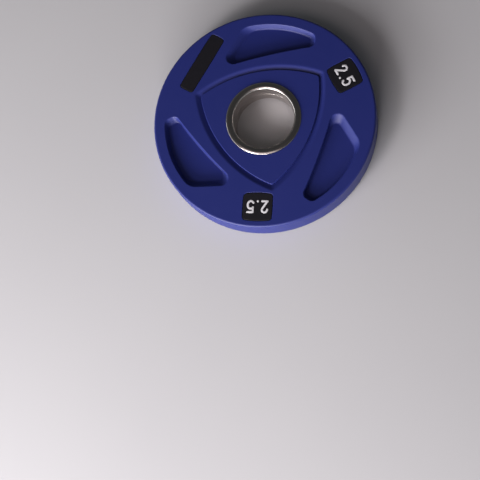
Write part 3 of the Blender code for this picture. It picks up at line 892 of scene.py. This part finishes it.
NUMERAL_EDGE = 0.14 * MM
NUMERAL_EDGE_STEPS = 3
NUMERAL_PROUD = 0.12 * MM
WHITE_DULL = (0.65, 0.645, 0.67)
WHITE_CLEAN = (0.73, 0.725, 0.75)
WHITE_SPECULAR = 0.45
WHITE_ROUGHNESS = 0.42
WHITE_GRAIN_DEPTH = 0.03 * MM


def white_rubber_finish():
    """Clean white rubber, slightly cool."""
    material, shader, place = new_finish("numeral_rubber", {"Specular IOR Level": WHITE_SPECULAR})
    grain = place.noise(place, 3.0, 3.0, 0.6)
    tint = place.noise(place, 0.35, 4.0)
    white = place.mixed(tint, WHITE_DULL, WHITE_CLEAN)
    relief = place.bumped(grain, WHITE_GRAIN_DEPTH, 0.4)
    feed(shader, Base_Color=white, Roughness=WHITE_ROUGHNESS + grain * 0.14, Normal=relief)
    return material


numeral_rubber = white_rubber_finish()
for side_name, side in SIDES.items():
    for sector in range(NUMBERED_SECTORS):
        for label, points in numerals(0.0):
            numeral = bmesh.new()
            plan = on_badge(points, sector, side)
            foot = FRONT_FACE - NUMERAL_THICKNESS
            bottom = outline_face(numeral, plan, foot)
            lid = sunk(numeral, bottom, [(plan, FRONT_FACE + NUMERAL_PROUD)])
            outline_face(numeral, plan, foot)
            bmesh.ops.bevel(
                numeral,
                geom=list(lid.edges),
                offset=NUMERAL_EDGE,
                affect="EDGES",
                segments=NUMERAL_EDGE_STEPS,
                profile=0.5,
                material=-1,
            )
            to_face(numeral, side)
            node = f"{side_name}_{label}_{sector + 1}"
            finished(f"{node}_rubber", numeral, numeral_rubber, "white_rubber", node)


# Floor, light and camera
# A plain pale floor, a low wide soft box in front on the left with a small one above it, a dim
# warm one overhead, a strip on the left, and the camera where the photographer stood.

FLOOR_SIZE = 8.0
FLOOR_SQUARES = 8
FLOOR_GREY = (0.54, 0.54, 0.55)
FLOOR_PALE = (0.58, 0.58, 0.585)
FLOOR_SPECULAR = 0.2
FLOOR_ROUGHNESS = 0.7


def pale_floor():
    """Matt pale grey, with a slow change of tone."""
    material, shader, place = new_finish("pale_floor", {"Specular IOR Level": FLOOR_SPECULAR})
    tone = place.noise(place, 0.004, 3.0)
    grey = place.mixed(tone, FLOOR_GREY, FLOOR_PALE)
    feed(shader, Base_Color=grey, Roughness=FLOOR_ROUGHNESS + tone * 0.1)
    return material


floor_shape = bmesh.new()
bmesh.ops.create_grid(
    floor_shape,
    x_segments=FLOOR_SQUARES,
    y_segments=FLOOR_SQUARES,
    size=FLOOR_SIZE / 2,
)
floor_mesh = bpy.data.meshes.new("floor")
floor_shape.to_mesh(floor_mesh)
floor_shape.free()
floor_mesh.materials.append(pale_floor())
floor = bpy.data.objects.new("floor", floor_mesh)
bpy.context.scene.collection.objects.link(floor)

# Name, azimuth, elevation, distance, width and height, power, colour
SOFT_BOXES = (
    ("key", -114.0, 15.0, 1.3, (1.4, 0.4), 31.5, (1.0, 0.96, 0.98)),
    ("beam", -122.0, 33.0, 1.5, (0.34, 0.34), 8.2, (1.0, 0.95, 0.98)),
    ("overhead", -108.0, 52.0, 1.6, (1.6, 0.8), 3.9, (1.0, 0.85, 0.86)),
    ("window", 193.0, 11.0, 1.3, (1.2, 0.36), 3.2, (0.94, 0.97, 1.0)),
)


def soft_box(name, azimuth, elevation, distance, size, power, colour):
    """An area light that faces the plate, placed about it in degrees and metres."""
    light = bpy.data.lights.new(name, "AREA")
    light.shape = "RECTANGLE"
    light.size, light.size_y = size
    light.energy = power
    light.color = colour
    lamp = bpy.data.objects.new(name, light)
    bpy.context.scene.collection.objects.link(lamp)
    a, e = math.radians(azimuth), math.radians(elevation)
    direction = Vector((math.cos(e) * math.cos(a), math.cos(e) * math.sin(a), math.sin(e)))
    lamp.location = direction * distance
    lamp.rotation_euler = direction.to_track_quat("Z", "Y").to_euler()


for box in SOFT_BOXES:
    soft_box(*box)

# The studio's walls: dim all round, brighter near the floor and most of all towards the key
WALL_COLOUR = (0.93, 0.96, 1.0, 1.0)
WALL_DIM = 0.046
WALL_LOW = 0.05
WALL_LOW_BY_KEY = 0.3
WALL_FOOT_BY_KEY = 2.5
# Half of the direction that leads away from the key
AWAY_EAST = 0.13
AWAY_NORTH = 0.483

world = bpy.data.worlds.new("studio")
world.use_nodes = True
backdrop = world.node_tree.nodes["Background"]
backdrop.inputs["Color"].default_value = WALL_COLOUR
direction = Signal(world.node_tree).node("ShaderNodeTexCoord", {}, {}, "Generated")
east, north, upwards = direction.parts()
low = 1.0 - upwards.clamped(0.0, 1.0)
towards_key = (0.5 - east * AWAY_EAST - north * AWAY_NORTH).clamped(0.0, 1.0)
glow = WALL_DIM + low**3 * (WALL_LOW + towards_key * WALL_LOW_BY_KEY)
feed(backdrop, Strength=glow + low**6 * towards_key**3 * WALL_FOOT_BY_KEY)
bpy.context.scene.world = world
bpy.context.scene.view_settings.view_transform = "Standard"

CAMERA_PLACE = Vector((0.1641, -0.3268, 0.9503))
CAMERA_FORWARD = Vector((-0.1821, 0.2298, -0.9561))
CAMERA_RIGHT = Vector((0.9829, 0.0683, -0.1708))
LENS = 90.0
SENSOR = 36.0

lens = bpy.data.cameras.new("camera")
lens.lens = LENS
lens.sensor_width = SENSOR
camera = bpy.data.objects.new("camera", lens)
bpy.context.scene.collection.objects.link(camera)
back = -CAMERA_FORWARD.normalized()
up = back.cross(CAMERA_RIGHT).normalized()
right = up.cross(back)
turn = Matrix((right, up, back)).transposed()
camera.matrix_world = Matrix.Translation(CAMERA_PLACE) @ turn.to_4x4()
bpy.context.scene.camera = camera
